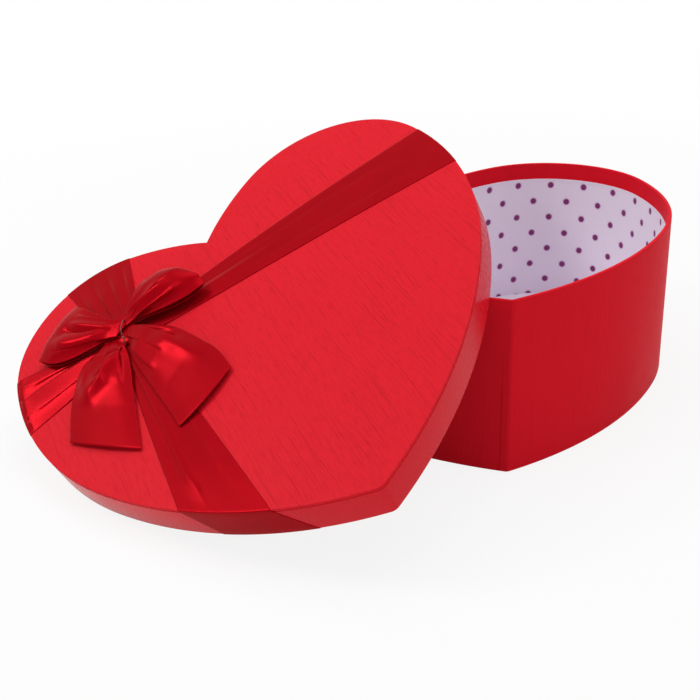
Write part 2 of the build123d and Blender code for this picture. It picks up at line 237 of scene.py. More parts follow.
def paper_profile(outer_path, thickness):
    """Closed profile of a folded paper: its outer path, and back along a path one thickness inside it."""
    ahead = np.gradient(outer_path, axis=0)
    ahead /= np.linalg.norm(ahead, axis=1)[:, None]
    inward = np.stack([-ahead[:, 1], ahead[:, 0]], axis=-1)
    return np.vstack([outer_path, (outer_path + inward * thickness)[::-1]])


def ring_paper(name, profile, place=None):
    """Paper ring: a closed profile of (growth, height) carried round the outline."""
    outlines = heart_outline(profile[:, 0])
    heights = np.broadcast_to(profile[:, None, 1:], outlines.shape[:2] + (1,))
    points = np.concatenate([outlines, heights], axis=-1)
    across = running_length(np.vstack([profile, profile[:1]]))
    u, v = np.meshgrid(outline_length, across)
    points = on_lid(points) if place == "lid" else points
    return grid_mesh(name, points, np.stack([u, v], axis=-1), closed_u=True, closed_v=True)


def disc_paper(name, rows, place=None):
    """Heart-shaped sheet, welded at its poles: rows centre + scale (outline(growth) - centre) at a height."""
    scale, growth, height = np.asarray(rows, float).T
    outlines = heart_outline(growth)
    flat = DISC_CENTRE + scale[:, None, None] * (outlines - DISC_CENTRE)
    heights = np.broadcast_to(height[:, None, None], flat.shape[:2] + (1,))
    points = np.concatenate([flat, heights], axis=-1)
    points = on_lid(points) if place == "lid" else points
    uv = np.concatenate([flat, flat[:, :1]], axis=1)
    return weld(grid_mesh(name, points, uv, closed_u=True))


print("hearts shrink to", DISC_CENTRE / MM)

# %% [markdown]
# Each new piece is hung on the body that it moves with, and says which packed solid it stands for.

# %% Pieces on their bodies
def place_piece(piece, body, node, material):
    """Hangs a piece on its body, says which packed node it stands for, and gives it its finish."""
    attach(piece, body)
    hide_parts(node)
    piece.data.materials.append(material)
    print(piece.name, "stands for", node, "with", len(piece.data.vertices), "corners")
    return piece


# %% [markdown]
# Finishes are written as sums. A small class wraps a node's output so that `1 - mask` adds the Math node
# for it. The nodes could be added one by one, but a sum is shorter and shows what it means.

# %% Sums of signals
class Signal:
    """One node output. Operators on it add Math nodes."""

    def __init__(self, finish, socket):
        self.finish = finish
        self.socket = socket

    def maths(self, operation, first, second=None):
        settings = {"operation": operation}
        values = {0: first} if second is None else {0: first, 1: second}
        return self.finish.add("ShaderNodeMath", settings, values)

    def __add__(self, other):
        return self.maths("ADD", self, other)

    def __sub__(self, other):
        return self.maths("SUBTRACT", self, other)

    def __rsub__(self, other):
        return self.maths("SUBTRACT", other, self)

    def __mul__(self, other):
        return self.maths("MULTIPLY", self, other)

    def __truediv__(self, other):
        return self.maths("DIVIDE", self, other)

    def __rtruediv__(self, other):
        return self.maths("DIVIDE", other, self)

    __radd__ = __add__
    __rmul__ = __mul__

    def fraction(self):
        return self.maths("FRACT", self)

    def size(self):
        return self.maths("ABSOLUTE", self)

    def root(self):
        return self.maths("SQRT", self)

    def least(self, other):
        return self.maths("MINIMUM", self, other)

    def most(self, other):
        return self.maths("MAXIMUM", self, other)

    def step(self, low, high):
        """0 below `low`, 1 above `high`, and a smooth S between them."""
        settings = {"interpolation_type": "SMOOTHSTEP"}
        values = {"Value": self, "From Min": low, "From Max": high}
        return self.finish.add("ShaderNodeMapRange", settings, values)


print("a signal can give its", sorted(name for name in vars(Signal) if not name.startswith("_")))

# %% [markdown]
# A finish is a material with one shader. One method adds every kind of node. Values that never change go
# straight onto the shader's own sockets, and only what varies is linked.

# %% Finishes
NOISE_ROUGHNESS = 0.55


class Finish:
    """A material with one Principled shader. `fixed` are the values of sockets that don't vary."""

    def __init__(self, name, fixed):
        self.material = bpy.data.materials.new(name)
        self.material.use_nodes = True
        self.tree = self.material.node_tree
        self.shader = self.tree.nodes["Principled BSDF"]
        for socket, value in fixed.items():
            self.shader.inputs[socket].default_value = value

    def add(self, kind, settings=None, values=None, output=0):
        node = self.tree.nodes.new(kind)
        for key, value in (settings or {}).items():
            setattr(node, key, value)
        for key, value in (values or {}).items():
            self.put(node.inputs[key], value)
        return Signal(self, node.outputs[output])

    def put(self, socket, value):
        if isinstance(value, Signal):
            self.tree.links.new(value.socket, socket)
        else:
            socket.default_value = value

    def varies(self, **sockets):
        for name, value in sockets.items():
            self.put(self.shader.inputs[name.replace("_", " ")], value)
        return self.material

    def flat_coordinates(self, source="UV"):
        """The two coordinates, in metres, of the UV map or of the object itself."""
        whole = self.add("ShaderNodeTexCoord", output=source)
        split = self.tree.nodes.new("ShaderNodeSeparateXYZ")
        self.tree.links.new(whole.socket, split.inputs[0])
        return Signal(self, split.outputs[0]), Signal(self, split.outputs[1])

    def noise(self, u, v, per_u, per_v, detail=3.0, offset=0.0):
        """Noise with about `per_u` by `per_v` spots to a metre, from 0 to 1."""
        place = {"X": u * per_u + offset, "Y": v * per_v, "Z": offset}
        vector = self.add("ShaderNodeCombineXYZ", None, place)
        settings = {"noise_dimensions": "2D"}
        values = {"Vector": vector, "Scale": 1.0, "Detail": detail, "Roughness": NOISE_ROUGHNESS}
        return self.add("ShaderNodeTexNoise", settings, values, output="Fac")

    def mix(self, share, first, second):
        """Colour from `first` to `second` by a share."""
        settings = {"data_type": "RGBA"}
        return self.add("ShaderNodeMix", settings, {0: share, 6: first, 7: second}, output=2)

    def bump(self, height, depth):
        """Normal for a height from 0 to 1 that stands for `depth` metres."""
        return self.add("ShaderNodeBump", None, {"Strength": 1.0, "Distance": depth, "Height": height})


def colour(red, green, blue):
    """Screen colour (0 to 255 each) as the light values that shaders use, with an opaque fourth value."""
    screen = np.array([red, green, blue]) / 255.0
    low, high = screen / 12.92, ((screen + 0.055) / 1.055) ** 2.4
    return (*np.where(screen <= 0.04045, low, high).tolist(), 1.0)


print("white in light values", colour(255, 255, 255))

# %% [markdown]
# The outer paper is red, embossed with a fine irregular grain that runs up the walls and along the heart's
# axis on the lid. Two noises stretched hard in one direction give long and short streaks. They darken the
# red a little, break up the gloss and press fine grooves into it, so that the light catches the grain. A
# picture of paper could be laid on instead, but it would repeat. The wall's paper overlaps itself beside
# the tip, in a seam that shows from mid-height down.

# %% Red grained paper
PAPER_RED = colour(226, 26, 42)
GROOVE_RED = colour(164, 4, 16)
GRAIN_DEPTH = 0.07 * MM
GRAIN_SWAY = 2.4 * MM                               # how far the streaks wander sideways
SWAYS, CLOUDS = (30.0, 18.0), (22.0, 14.0)          # spots to a metre, across and along the grain
HAIRS, LINES = (1200.0, 120.0), (1250.0, 16.0)
HAIR_EDGE, LINE_EDGE = (0.44, 0.74), (0.60, 0.70)
HAIR_DEPTH, LINE_DEPTH = 0.45, 0.55
HAIR_DARK, LINE_DARK, CLOUD_DARK = 0.26, 0.40, 0.08
HAIR_ROUGH, CLOUD_ROUGH = 0.10, 0.08
SEAM_CORE, SEAM_EDGE, SEAM_STEP = 0.15 * MM, 0.7 * MM, 0.2 * MM
SEAM_DEPTH, SEAM_DARK = 1.5, 0.3
SEAM_FADES_FROM, SEAM_GONE_AT = 60.0 * MM, 95.0 * MM    # along the wrap, from its edge under the box
SEAM_BEFORE_TIP = 4.6 * MM


def red_paper(name, source="UV", seam_at=None, gloss=0.07, grain=1.0, roughness=0.40):
    """Red paper whose grain runs along the second coordinate. `seam_at` is the place of a pasted overlap."""
    finish = Finish(name, {"Specular IOR Level": gloss})
    u, v = finish.flat_coordinates(source)
    sway = (finish.noise(u, v, *SWAYS, detail=1.0, offset=11.0) - 0.5) * GRAIN_SWAY
    hair = finish.noise(u + sway, v, *HAIRS, detail=4.0).step(*HAIR_EDGE)
    line = finish.noise(u + sway, v, *LINES, detail=2.0, offset=7.0).step(*LINE_EDGE)
    cloud = finish.noise(u, v, *CLOUDS, detail=2.0, offset=3.0)
    height = hair * HAIR_DEPTH + line * LINE_DEPTH
    darkness = (hair * HAIR_DARK + line * LINE_DARK) * grain + cloud * CLOUD_DARK
    if seam_at is not None:
        past_seam = u - seam_at
        shows = 1 - v.step(SEAM_FADES_FROM, SEAM_GONE_AT)
        crease = (1 - past_seam.size().step(SEAM_CORE, SEAM_EDGE)) * shows
        overlap = past_seam.step(-SEAM_STEP, SEAM_STEP) * shows
        height = height + crease * SEAM_DEPTH - overlap * SEAM_DEPTH
        darkness = darkness + crease * SEAM_DARK
    return finish.varies(
        Base_Color=finish.mix(darkness, PAPER_RED, GROOVE_RED),
        Roughness=roughness + hair * HAIR_ROUGH + cloud * CLOUD_ROUGH,
        Normal=finish.bump(1 - height, GRAIN_DEPTH * grain),
    )


seam_place = outline_length[-1] - SEAM_BEFORE_TIP
wall_paper = red_paper("red_grain_paper_wall", seam_at=seam_place, gloss=0.015, grain=0.30)
lid_paper = red_paper("red_grain_paper_lid", grain=0.7)
skirt_paper = red_paper("red_grain_paper_skirt", gloss=0.08, grain=0.18, roughness=0.20)
bottom_paper = red_paper("red_grain_paper_bottom", source="Object")
print("red papers", wall_paper.name, lid_paper.name, skirt_paper.name, bottom_paper.name)

# %% [markdown]
# Inside, the box is lined with pale lilac paper printed with small plum dots: a square lattice with one more
# dot in the middle of each square. The distance to the nearest lattice point gives each dot. The ink
# bleeds a little, so a dot has a soft mauve fringe. The dots could be drawn in a picture, but a formula stays
# sharp from close by and takes their spacing as plain numbers.

# %% Dotted lining paper
DOT_PITCH_ALONG = 25.65 * MM
DOT_PITCH_DOWN = 24.85 * MM
DOT_RADIUS = 2.2 * MM
DOT_FRINGE = 3.3 * MM
INK_SOFTNESS = 0.35 * MM
INK_RAGGED = 1.0 * MM
PRINT_LEAN = 0.0173
LATTICE_SHIFTS = (0.0, 0.5)                         # the corners of the squares, and their middles
INK_SPOTS, FIBRES, TINTS = (1600.0, 1600.0), (700.0, 260.0), (14.0, 14.0)      # spots to a metre
FIBRE_DEPTH = 0.04 * MM
PRINT_ROUGHNESS, FIBRE_ROUGH, INK_SMOOTH = 0.5, 0.15, 0.08
LILAC = colour(246, 239, 250)
LILAC_SHADE = colour(236, 227, 242)
PLUM = colour(124, 42, 104)
MAUVE = colour(222, 182, 222)
FIRST_WALL_DOT = (361.5 * MM, 4.8 * MM)


def dotted_paper(name, source="UV", first_dot=(0.0, 0.0)):
    """Lilac paper with plum dots: the distance to the nearest lattice point is the root of du^2 + dv^2."""
    finish = Finish(name, {"Specular IOR Level": 0.3})
    u, v = finish.flat_coordinates(source)
    down = v - first_dot[1]
    along = (u - first_dot[0]) - down * PRINT_LEAN
    nearest = None
    for shift in LATTICE_SHIFTS:
        du = ((along / DOT_PITCH_ALONG + (0.5 + shift)).fraction() - 0.5) * DOT_PITCH_ALONG
        dv = ((down / DOT_PITCH_DOWN + (0.5 + shift)).fraction() - 0.5) * DOT_PITCH_DOWN
        distance = (du * du + dv * dv).root()
        nearest = distance if nearest is None else nearest.least(distance)
    edge = nearest + (finish.noise(u, v, *INK_SPOTS) - 0.5) * INK_RAGGED
    ink = 1 - edge.step(DOT_RADIUS - INK_SOFTNESS, DOT_RADIUS + INK_SOFTNESS)
    fringe = 1 - edge.step(DOT_RADIUS, DOT_FRINGE)
    fibre = finish.noise(u, v, *FIBRES, detail=4.0, offset=2.0)
    tint = finish.noise(u, v, *TINTS, detail=2.0, offset=5.0)
    paper = finish.mix((fibre + tint) * 0.5, LILAC, LILAC_SHADE)
    printed = finish.mix(ink, finish.mix(fringe, paper, MAUVE), PLUM)
    return finish.varies(
        Base_Color=printed,
        Roughness=PRINT_ROUGHNESS + fibre * FIBRE_ROUGH - ink * INK_SMOOTH,
        Normal=finish.bump(fibre, FIBRE_DEPTH),
    )


dotted_wall_paper = dotted_paper("dotted_paper_wall", first_dot=FIRST_WALL_DOT)
dotted_floor_paper = dotted_paper("dotted_paper_floor", source="Object")
print("dot pitch mm", DOT_PITCH_ALONG / MM, DOT_PITCH_DOWN / MM, "dot width mm", 2 * DOT_RADIUS / MM)

# %% [markdown]
# Greyboard is pressed from waste paper: grey-brown, with flecks of many fibres. It hides under the papers
# and shows only at their gaps. The lid's inside has a plain white lining with a faint tooth. Each could have
# a function of its own, but the two differ only in colour, flecks and tooth, so one makes both.

# %% Greyboard and lining
BOARD_GREY = colour(150, 142, 130)
BOARD_FLECK = colour(96, 88, 80)
LINING_WHITE = colour(238, 234, 228)
LINING_SHADE = colour(222, 216, 208)
FIBRES_TO_A_METRE = 900.0
STOCK_ROUGHNESS, STOCK_VARIES = 0.75, 0.2


def fibre_stock(name, light, dark, flecks, depth):
    """Pressed fibre stock: noise on the object's own place, cut to flecks, tints it and roughens it."""
    finish = Finish(name, {"Specular IOR Level": 0.2})
    place = finish.add("ShaderNodeTexCoord", output="Object")
    values = {"Vector": place, "Scale": FIBRES_TO_A_METRE, "Detail": 5.0, "Roughness": 0.65}
    fibre = finish.add("ShaderNodeTexNoise", None, values, output="Fac")
    return finish.varies(
        Base_Color=finish.mix(fibre.step(*flecks), light, dark),
        Roughness=STOCK_ROUGHNESS + fibre * STOCK_VARIES,
        Normal=finish.bump(fibre, depth),
    )


greyboard = fibre_stock("greyboard", BOARD_GREY, BOARD_FLECK, flecks=(0.52, 0.70), depth=0.10 * MM)
lining_paper = fibre_stock("lining_paper", LINING_WHITE, LINING_SHADE, flecks=(0.40, 0.65), depth=0.04 * MM)
print("board and lining", greyboard.name, lining_paper.name)

# %% [markdown]
# The base is wrapped in one strip of paper: from under the bottom, up the wall, over the rim and a short
# way down inside. The packed solid has the same layers with sharp folds. A closed profile with rounded
# corners, carried round the heart, lets the light run over the rim.

# %% Wrap of the base
BASE_HEIGHT = 106.0 * MM
PAPER = 0.28 * MM
UNDER_FOLD = -15.0 * MM
SHEET_TOP = 0.3 * MM
INSIDE_FACE = -2.6 * MM
TURN_IN_END = 93.4 * MM
WRAP_ROUNDING = 0.8 * MM

wrap_path = rounded(
    [
        (UNDER_FOLD, SHEET_TOP),
        (0.0, SHEET_TOP),
        (0.0, BASE_HEIGHT),
        (INSIDE_FACE, BASE_HEIGHT),
        (INSIDE_FACE, TURN_IN_END),
    ],
    WRAP_ROUNDING,
)
side_wrap = ring_paper("base_wrap", paper_profile(wrap_path, PAPER))
place_piece(weld(side_wrap), "base", "base_side_wrap", wall_paper)

# %% [markdown]
# The dotted paper is pasted in after the wrap, so it starts on top of the turned-in edge and has a small step
# below it. A flat strip would be simpler, but it would lie in the same face as the edge that it covers.

# %% Lining of the base
LINER_OVERLAP = 0.9 * MM
LINER_RISE = 0.22 * MM
LINER_STEP_TOP, LINER_STEP_END = 0.4 * MM, 1.6 * MM     # below the turned-in edge
LINER_ROUNDING = 0.5 * MM
LINER_THICKNESS = PAPER * 0.7                           # a thinner paper
FLOOR_TOP = 2.9 * MM

liner_path = rounded(
    [
        (INSIDE_FACE - LINER_RISE, TURN_IN_END + LINER_OVERLAP),
        (INSIDE_FACE - LINER_RISE, TURN_IN_END - LINER_STEP_TOP),
        (INSIDE_FACE, TURN_IN_END - LINER_STEP_END),
        (INSIDE_FACE, FLOOR_TOP),
    ],
    LINER_ROUNDING,
)
wall_liner = ring_paper("base_liner", paper_profile(liner_path, LINER_THICKNESS))
place_piece(weld(wall_liner), "base", "base_wall_liner", dotted_wall_paper)

# %% [markdown]
# The lid is covered in two steps on the real box: a heart of paper whose edge is pulled down a millimetre
# over the rim, then a strip round the skirt that is folded under and up the inside. A narrow groove is left
# between the two, and shows as a dark line. The line could be painted on, but a groove takes its shade from
# the light. The top is a fan of rows from the centre to the edge.

# %% Top paper of the lid
LID_GROW = 2.9 * MM
LIP = 1.0 * MM
GROOVE = 0.27 * MM
GROOVE_SLOPE = 0.1 * MM
GROOVE_REACH = 2.0 * MM
EDGE_BAND = 4.0 * MM           # ring of rows that shapes the edge, round the fan
EDGE_ROUNDING = 0.75 * MM
EDGE_STEPS = 7
FAN_ROWS = 26
UNDERSIDE_STRIDE = 6           # the hidden underside takes every sixth row of the fan

edge_path = rounded(
    [
        (LID_GROW - EDGE_BAND, 0.0),
        (LID_GROW, 0.0),
        (LID_GROW, -LIP),
        (LID_GROW - GROOVE, -LIP - GROOVE_SLOPE),
        (LID_GROW - GROOVE, -LIP - GROOVE_REACH),
    ],
    EDGE_ROUNDING,
    steps=EDGE_STEPS,
)
inner_edge = edge_path[::-1] - np.array([PAPER, PAPER])
inner_edge[0, 1] += PAPER
fan_shares = np.linspace(0.0, 1.0, FAN_ROWS)[:-1]
top_rows = [(share, LID_GROW - EDGE_BAND, 0.0) for share in fan_shares]
top_rows += [(1.0, growth, height) for growth, height in np.vstack([edge_path, inner_edge])]
top_rows += [(share, LID_GROW - EDGE_BAND, -PAPER) for share in fan_shares[::-UNDERSIDE_STRIDE]]
top_rows += [(0.0, LID_GROW - EDGE_BAND, -PAPER)]
lid_top = disc_paper("lid_cover", top_rows, place="lid")
place_piece(lid_top, "lid", "lid_top_wrap", lid_paper)

# %% [markdown]
# The strip round the skirt starts below the groove, goes under the lower edge and ends inside, under the top
# board. It is made as the base's wrap is, because it is folded the same way.

# %% Skirt paper of the lid
LID_DEPTH = 21.0 * MM
SKIRT_INSIDE = 0.8 * MM
LID_UNDER_BOARD = 2.6 * MM
SKIRT_GAP = 2.1 * MM
SKIRT_ROUNDING = 0.7 * MM

skirt_path = rounded(
    [
        (SKIRT_INSIDE, -LID_UNDER_BOARD),
        (SKIRT_INSIDE, -LID_DEPTH),
        (LID_GROW, -LID_DEPTH),
        (LID_GROW, -SKIRT_GAP),
    ],
    SKIRT_ROUNDING,
)
skirt = ring_paper("lid_skirt_cover", paper_profile(skirt_path, PAPER), place="lid")
place_piece(weld(skirt), "lid", "lid_skirt_wrap", skirt_paper)

# %% [markdown]
# Satin is woven so that long floats of thread lie on top. It is a deep red that shines in its own colour, so
# it is partly metallic, with a tinted highlight that is stretched across the threads. Fine threads along
# the ribbon and a cloudy change of depth keep it from looking like plastic. A sheen layer would suit velvet,
# which glows at its edges, but satin shines where its smooth face mirrors a lamp.

# %% Red satin
SATIN_RED = colour(178, 5, 21)
SATIN_DEEP = colour(148, 2, 13)
SATIN_GLOSS = colour(255, 150, 165)
THREADS, SLUBS = (5200.0, 180.0), (600.0, 24.0)      # spots to a metre, across and along the ribbon
DEPTHS = (60.0, 30.0)
THREAD_TINT, DEPTH_TINT = 0.35, 0.5
SATIN_ROUGHNESS, SLUB_ROUGH, THREAD_ROUGH = 0.19, 0.06, 0.04
THREAD_HEIGHT, SLUB_HEIGHT = 0.4, 0.6
WEAVE_DEPTH = 0.008 * MM


def red_satin(name):
    """Woven gloss: threads run along the second coordinate, and the tint of the highlight is constant."""
    fixed = {
        "Metallic": 0.22,
        "IOR": 1.12,
        "Specular Tint": SATIN_GLOSS,
        "Anisotropic": 0.30,
    }
    finish = Finish(name, fixed)
    u, v = finish.flat_coordinates()
    thread = finish.noise(u, v, *THREADS, detail=2.0)
    slub = finish.noise(u, v, *SLUBS, detail=2.0, offset=4.0)
    depth = finish.noise(u, v, *DEPTHS, detail=2.0, offset=9.0)
    return finish.varies(
        Base_Color=finish.mix(thread * THREAD_TINT + depth * DEPTH_TINT, SATIN_RED, SATIN_DEEP),
        Roughness=SATIN_ROUGHNESS + slub * SLUB_ROUGH + thread * THREAD_ROUGH,
        Normal=finish.bump(thread * THREAD_HEIGHT + slub * SLUB_HEIGHT, WEAVE_DEPTH),
    )


satin = red_satin("red_satin")
print("satin", satin.name)

# %% [markdown]
# A ribbon 50 mm wide that is tied in a knot has to lose most of its width there. It does so in knife pleats:
# the cloth runs forward, turns back under itself and runs forward again. Across the ribbon, the place
# goes as w t + a sin(2 pi n t) and the height as h (1 - sin(2 pi n t)) / 2, so the layers are parallel
# slants that never cut each other. At the knot, a is found so that the cloth keeps its full width. Further
# out the pleats hold less and less of the spare width, and the strip is drawn narrower than it was cut. A
# simulation of cloth could gather it too, but a formula puts each pleat where it is wanted.

# %% Pleats
RIBBON_WIDTH = 50.0 * MM
HALVINGS = 26


def gathered(base, pleats, fold_height, keep):
    """Adds pleats to a grid (rows, columns, 3) of lid coordinates.

    Row by row, the sideways reach of the pleats is halved in on until the row has the length it should.
    `keep` is the share of the cloth's spare width that the pleats hold. The rest is not drawn.
    """
    phase = 2 * np.pi * pleats * np.linspace(0, 1, base.shape[1])
    side = (base[:, -1] - base[:, 0]) * np.array([1.0, 1.0, 0.0])
    side /= np.linalg.norm(side, axis=1)[:, None]
    lift = np.asarray(fold_height)[:, None] / 2 * (1 - np.sin(phase))[None]

    def pleated(reach):
        grid = base + side[:, None, :] * (reach[:, None] * np.sin(phase)[None])[..., None]
        grid[..., 2] += lift
        return grid

    low = np.zeros(len(base))
    high = np.full(len(base), RIBBON_WIDTH)
    plain = row_lengths(pleated(low))
    wanted = plain + np.maximum(RIBBON_WIDTH - plain, 0) * keep
    for _ in range(HALVINGS):
        middle = (low + high) / 2
        short = row_lengths(pleated(middle)) < wanted
        low = np.where(short, middle, low)
        high = np.where(short, high, middle)
    return pleated(low)


def row_lengths(grid):
    """Length of each row of a grid: the sum of the steps along it."""
    return np.linalg.norm(np.diff(grid, axis=1), axis=2).sum(axis=1)


print("ribbon width mm", RIBBON_WIDTH / MM)

# %% [markdown]
# A strip of satin is one grid with its thickness added by a modifier, which could also be worked out point by
# point. Its UV map is the flat ribbon, so that the threads follow every fold. Two halves meet at the
# knot.

# %% Strips of satin
SATIN_THICKNESS = 0.16 * MM
JOINING_STEPS = 6


def satin_sheet(name, grid, node):
    """A strip of satin from a grid of lid coordinates (rows along it, columns across), with its thickness."""
    steps = np.linalg.norm(np.diff(grid, axis=0), axis=2).mean(axis=1)
    along = np.concatenate([[0.0], np.cumsum(steps)])
    u, v = np.meshgrid(np.linspace(0, RIBBON_WIDTH, grid.shape[1]), along)
    piece = grid_mesh(name, on_lid(grid), np.stack([u, v], axis=-1))
    solid = piece.modifiers.new("thickness", "SOLIDIFY")
    solid.thickness = SATIN_THICKNESS
    solid.offset = 0.0
    place_piece(piece, "lid", node, satin)
    return piece


def joined_strip(name, node, first, second):
    """Two halves of a strip, joined at the knot by evenly spaced rows from the end of one to the other."""
    share = np.linspace(0, 1, JOINING_STEPS)[1:-1, None, None]
    middle = first[-1:] + (second[:1] - first[-1:]) * share
    return satin_sheet(name, np.concatenate([first, middle, second], axis=0), node)


print("satin thickness mm", SATIN_THICKNESS / MM)

# %% [markdown]
# Ribbon bends softly, so its heights and edges follow three smooth curves: a path through a few points, a
# step that eases in and out, and an arch. Curve objects could give the paths, but arrays go straight into
# the grids.

# %% Smooth curves
def smooth_path(points, rows):
    """Path through a few points: cubic pieces whose slopes are half the step between neighbours."""
    points = np.asarray(points, float)
    slopes = np.gradient(points, axis=0)
    place = np.linspace(0, len(points) - 1, rows)
    piece = np.minimum(place.astype(int), len(points) - 2)
    f = (place - piece)[:, None]
    start = (2 * f**3 - 3 * f**2 + 1) * points[piece] + (f**3 - 2 * f**2 + f) * slopes[piece]
    return start + (3 * f**2 - 2 * f**3) * points[piece + 1] + (f**3 - f**2) * slopes[piece + 1]


def ease(value):
    """Smooth step 3 v^2 - 2 v^3, with v kept between 0 and 1."""
    v = np.clip(value, 0, 1)
    return v * v * (3 - 2 * v)


def arch(value):
    """Parabola 4 v (1 - v): 0 at both ends and 1 in the middle."""
    return 4 * value * (1 - value)


print("an arch at a quarter of its way", arch(0.25), "and a step there", ease(0.25))

# %% [markdown]
# Two ribbons cross under the bow. At the edge of the lid each goes down the skirt, under it and a little way
# up inside, where it is glued. A band could be shrunk onto the lid, but rows that follow the outline, grown
# by a little, lie close on the paper all the way.

# %% The way round the skirt
RIBBON_LIFT = 0.14 * MM
SIDE_GAP = 0.16 * MM
EDGE_INSET = 0.9 * MM          # the fan ends this far inside the edge of the lid
TURN_ROUNDING = 0.8 * MM
TUCK_END = -11.0 * MM
SKIRT_STEPS = 4
EDGE_SAMPLES = 4000


def outline_at(place, growth):
    """Points of the outline grown by `growth`, at distances along the base outline."""
    ring = heart_outline(growth)[0]
    ring = np.vstack([ring, ring[:1]])
    return np.stack([np.interp(place, outline_length, ring[:, axis]) for axis in (0, 1)], axis=-1)


def edge_place(point):
    """Distance along the outline of its point nearest to a given one on the lid, in millimetres."""
    places = np.linspace(0, outline_length[-1], EDGE_SAMPLES)
    away = np.linalg.norm(outline_at(places, LID_GROW) - np.array(point) * MM, axis=1)
    return places[np.argmin(away)]


def way_round_skirt(places, slant):
    """Rows from the edge of the lid down the skirt, under it and up inside.

    They drift along the outline by tan(slant) times the depth below the top.
    """
    outside, inside = LID_GROW + SIDE_GAP, SKIRT_INSIDE - SIDE_GAP
    under = -LID_DEPTH - RIBBON_LIFT
    down_skirt = [(outside, under * step / SKIRT_STEPS) for step in range(1, SKIRT_STEPS)]
    turn = rounded(
        [
            (LID_GROW - EDGE_INSET, RIBBON_LIFT),
            (outside, RIBBON_LIFT),
            *down_skirt,
            (outside, under),
            (inside, under),
            (inside, TUCK_END),
        ],
        TURN_ROUNDING,
    )
    depth = np.clip(-turn[:, 1], 0, LID_DEPTH)
    rows = [
        np.column_stack([outline_at(places + down * math.tan(slant), growth), np.full(len(places), high)])
        for (growth, high), down in zip(turn[1:], depth[1:])
    ]
    return np.stack(rows)


print("ribbon is tucked up to mm below the top", round(-TUCK_END / MM, 1))

# %% [markdown]
# Between the knot and the edge, each arm of a ribbon fans out. A strand runs from the gathered middle to its
# own point of the outline. Straight strands would be simpler, but the real ribbon spreads faster near the
# knot, so the fan opens as a power of the way along. An arm may bend sideways. Its pleats fade as it opens,
# and long creases, given by their heights across the ribbon, stay.

# %% Arms of a ribbon
STRIP_COLUMNS = 97
CROSSING = np.array([-70.5, 65.0]) * MM
PINCH = 8.0 * MM
PINCH_LENGTH = 6.0 * MM
ARM_ROWS = 54
ROW_CROWDING = 1.25            # above 1, rows crowd to the knot
WIDENING = 0.65
FOLD_FADE = 40.0 * MM
KNOT_RISE = 14.0 * MM
CREASE_RISE, FOLD_END = 0.3, 0.4        # shares of the way along an arm

# A set of creases: heights in millimetres across the ribbon, the share of the arm where they end, and the
# share over which they fade there.
FLAT = ([(0.0, 0.0), (1.0, 0.0)], 1.0, 0.1)


def crease_heights(share, reach, creases):
    """Heights of a set of creases over an arm, eased in from the knot and out where the creases end."""
    points, ends_at, fade = creases
    heights = np.interp(share, *np.array(points).T)[None] * MM
    return heights * (ease(reach / CREASE_RISE) * ease((ends_at - reach) / fade))[:, None]


def ribbon_arm(ends, heading, pleats, folds, crisp_length, lift=0.0, creases=FLAT, slant=0.0, bend=0.0):
    """One arm of a ribbon from the knot to its tuck: a fan of strands, then the way round the skirt.

    A strand is centre(s) + a + (b - a) s^WIDENING, where a and b are its ends measured from the middle of the
    ribbon, and the whole arm is moved sideways by bend 4 s (1 - s). `ends` are the edge points of its two
    sides and `folds` the height of its pleats at the knot and far from it. Lengths are in millimetres and
    `heading` in degrees.
    """
    share = np.linspace(0, 1, STRIP_COLUMNS)
    places = edge_place(ends[0]) + (edge_place(ends[1]) - edge_place(ends[0])) * share
    direction = np.array([math.cos(math.radians(heading)), math.sin(math.radians(heading))])
    across = np.array([direction[1], -direction[0]])
    toward = outline_at(places[[0, -1]], LID_GROW)
    across *= np.sign(np.dot(across, toward[1] - toward[0]))
    start = CROSSING + direction * PINCH_LENGTH / 2 + across * (share[:, None] - 0.5) * PINCH
    end = outline_at(places, LID_GROW - EDGE_INSET)
    along = np.linspace(0, 1, ARM_ROWS)[:, None, None] ** ROW_CROWDING
    reach = along[:, 0, 0]
    centre = start.mean(axis=0) + (end.mean(axis=0) - start.mean(axis=0)) * along
    half_start, half_end = start - start.mean(axis=0), end - end.mean(axis=0)
    flat = centre + half_start + (half_end - half_start) * along**WIDENING
    flat = flat - across * bend * MM * arch(along)
    distance = reach * np.linalg.norm(end - start, axis=1).mean()
    height = RIBBON_LIFT + lift * MM * np.exp(-((distance / KNOT_RISE) ** 2))
    height = height[:, None] + crease_heights(share, reach, creases)
    base = np.concatenate([flat, height[..., None]], axis=-1)
    fold = (folds[1] + (folds[0] - folds[1]) * np.exp(-distance / FOLD_FADE)) * ease((1 - reach) / FOLD_END)
    fan = gathered(base, pleats, fold * MM, np.exp(-distance / (crisp_length * MM)))
    return np.concatenate([fan, way_round_skirt(places, slant)], axis=0)


print("strands to an arm", STRIP_COLUMNS, "rows", ARM_ROWS)

# %% [markdown]
# One ribbon goes from lobe to lobe. The other goes from the left lobe to the left side, over the first. Each
# arm has the two points where its sides meet the edge, read from the photograph, and its own pleats and
# creases. All four could share one set, but the real ones differ.

# %% The two ribbons
LEFT_CREASES = (
    [(0.0, 0.9), (0.10, 0.2), (0.13, 2.1), (0.40, 0.2), (0.43, 2.1), (0.70, 0.2), (0.73, 2.1), (1.0, 0.0)],
    1.0,
    0.03,
)
RIGHT_CREASES = ([(0.0, 0.2), (0.45, 0.0), (0.50, 1.8), (1.0, 0.0)], 0.55, 0.5)
LOW_CREASES = ([(0.0, 0.0), (0.36, 0.9), (0.42, 0.2), (1.0, 0.0)], 1.0, 0.2)

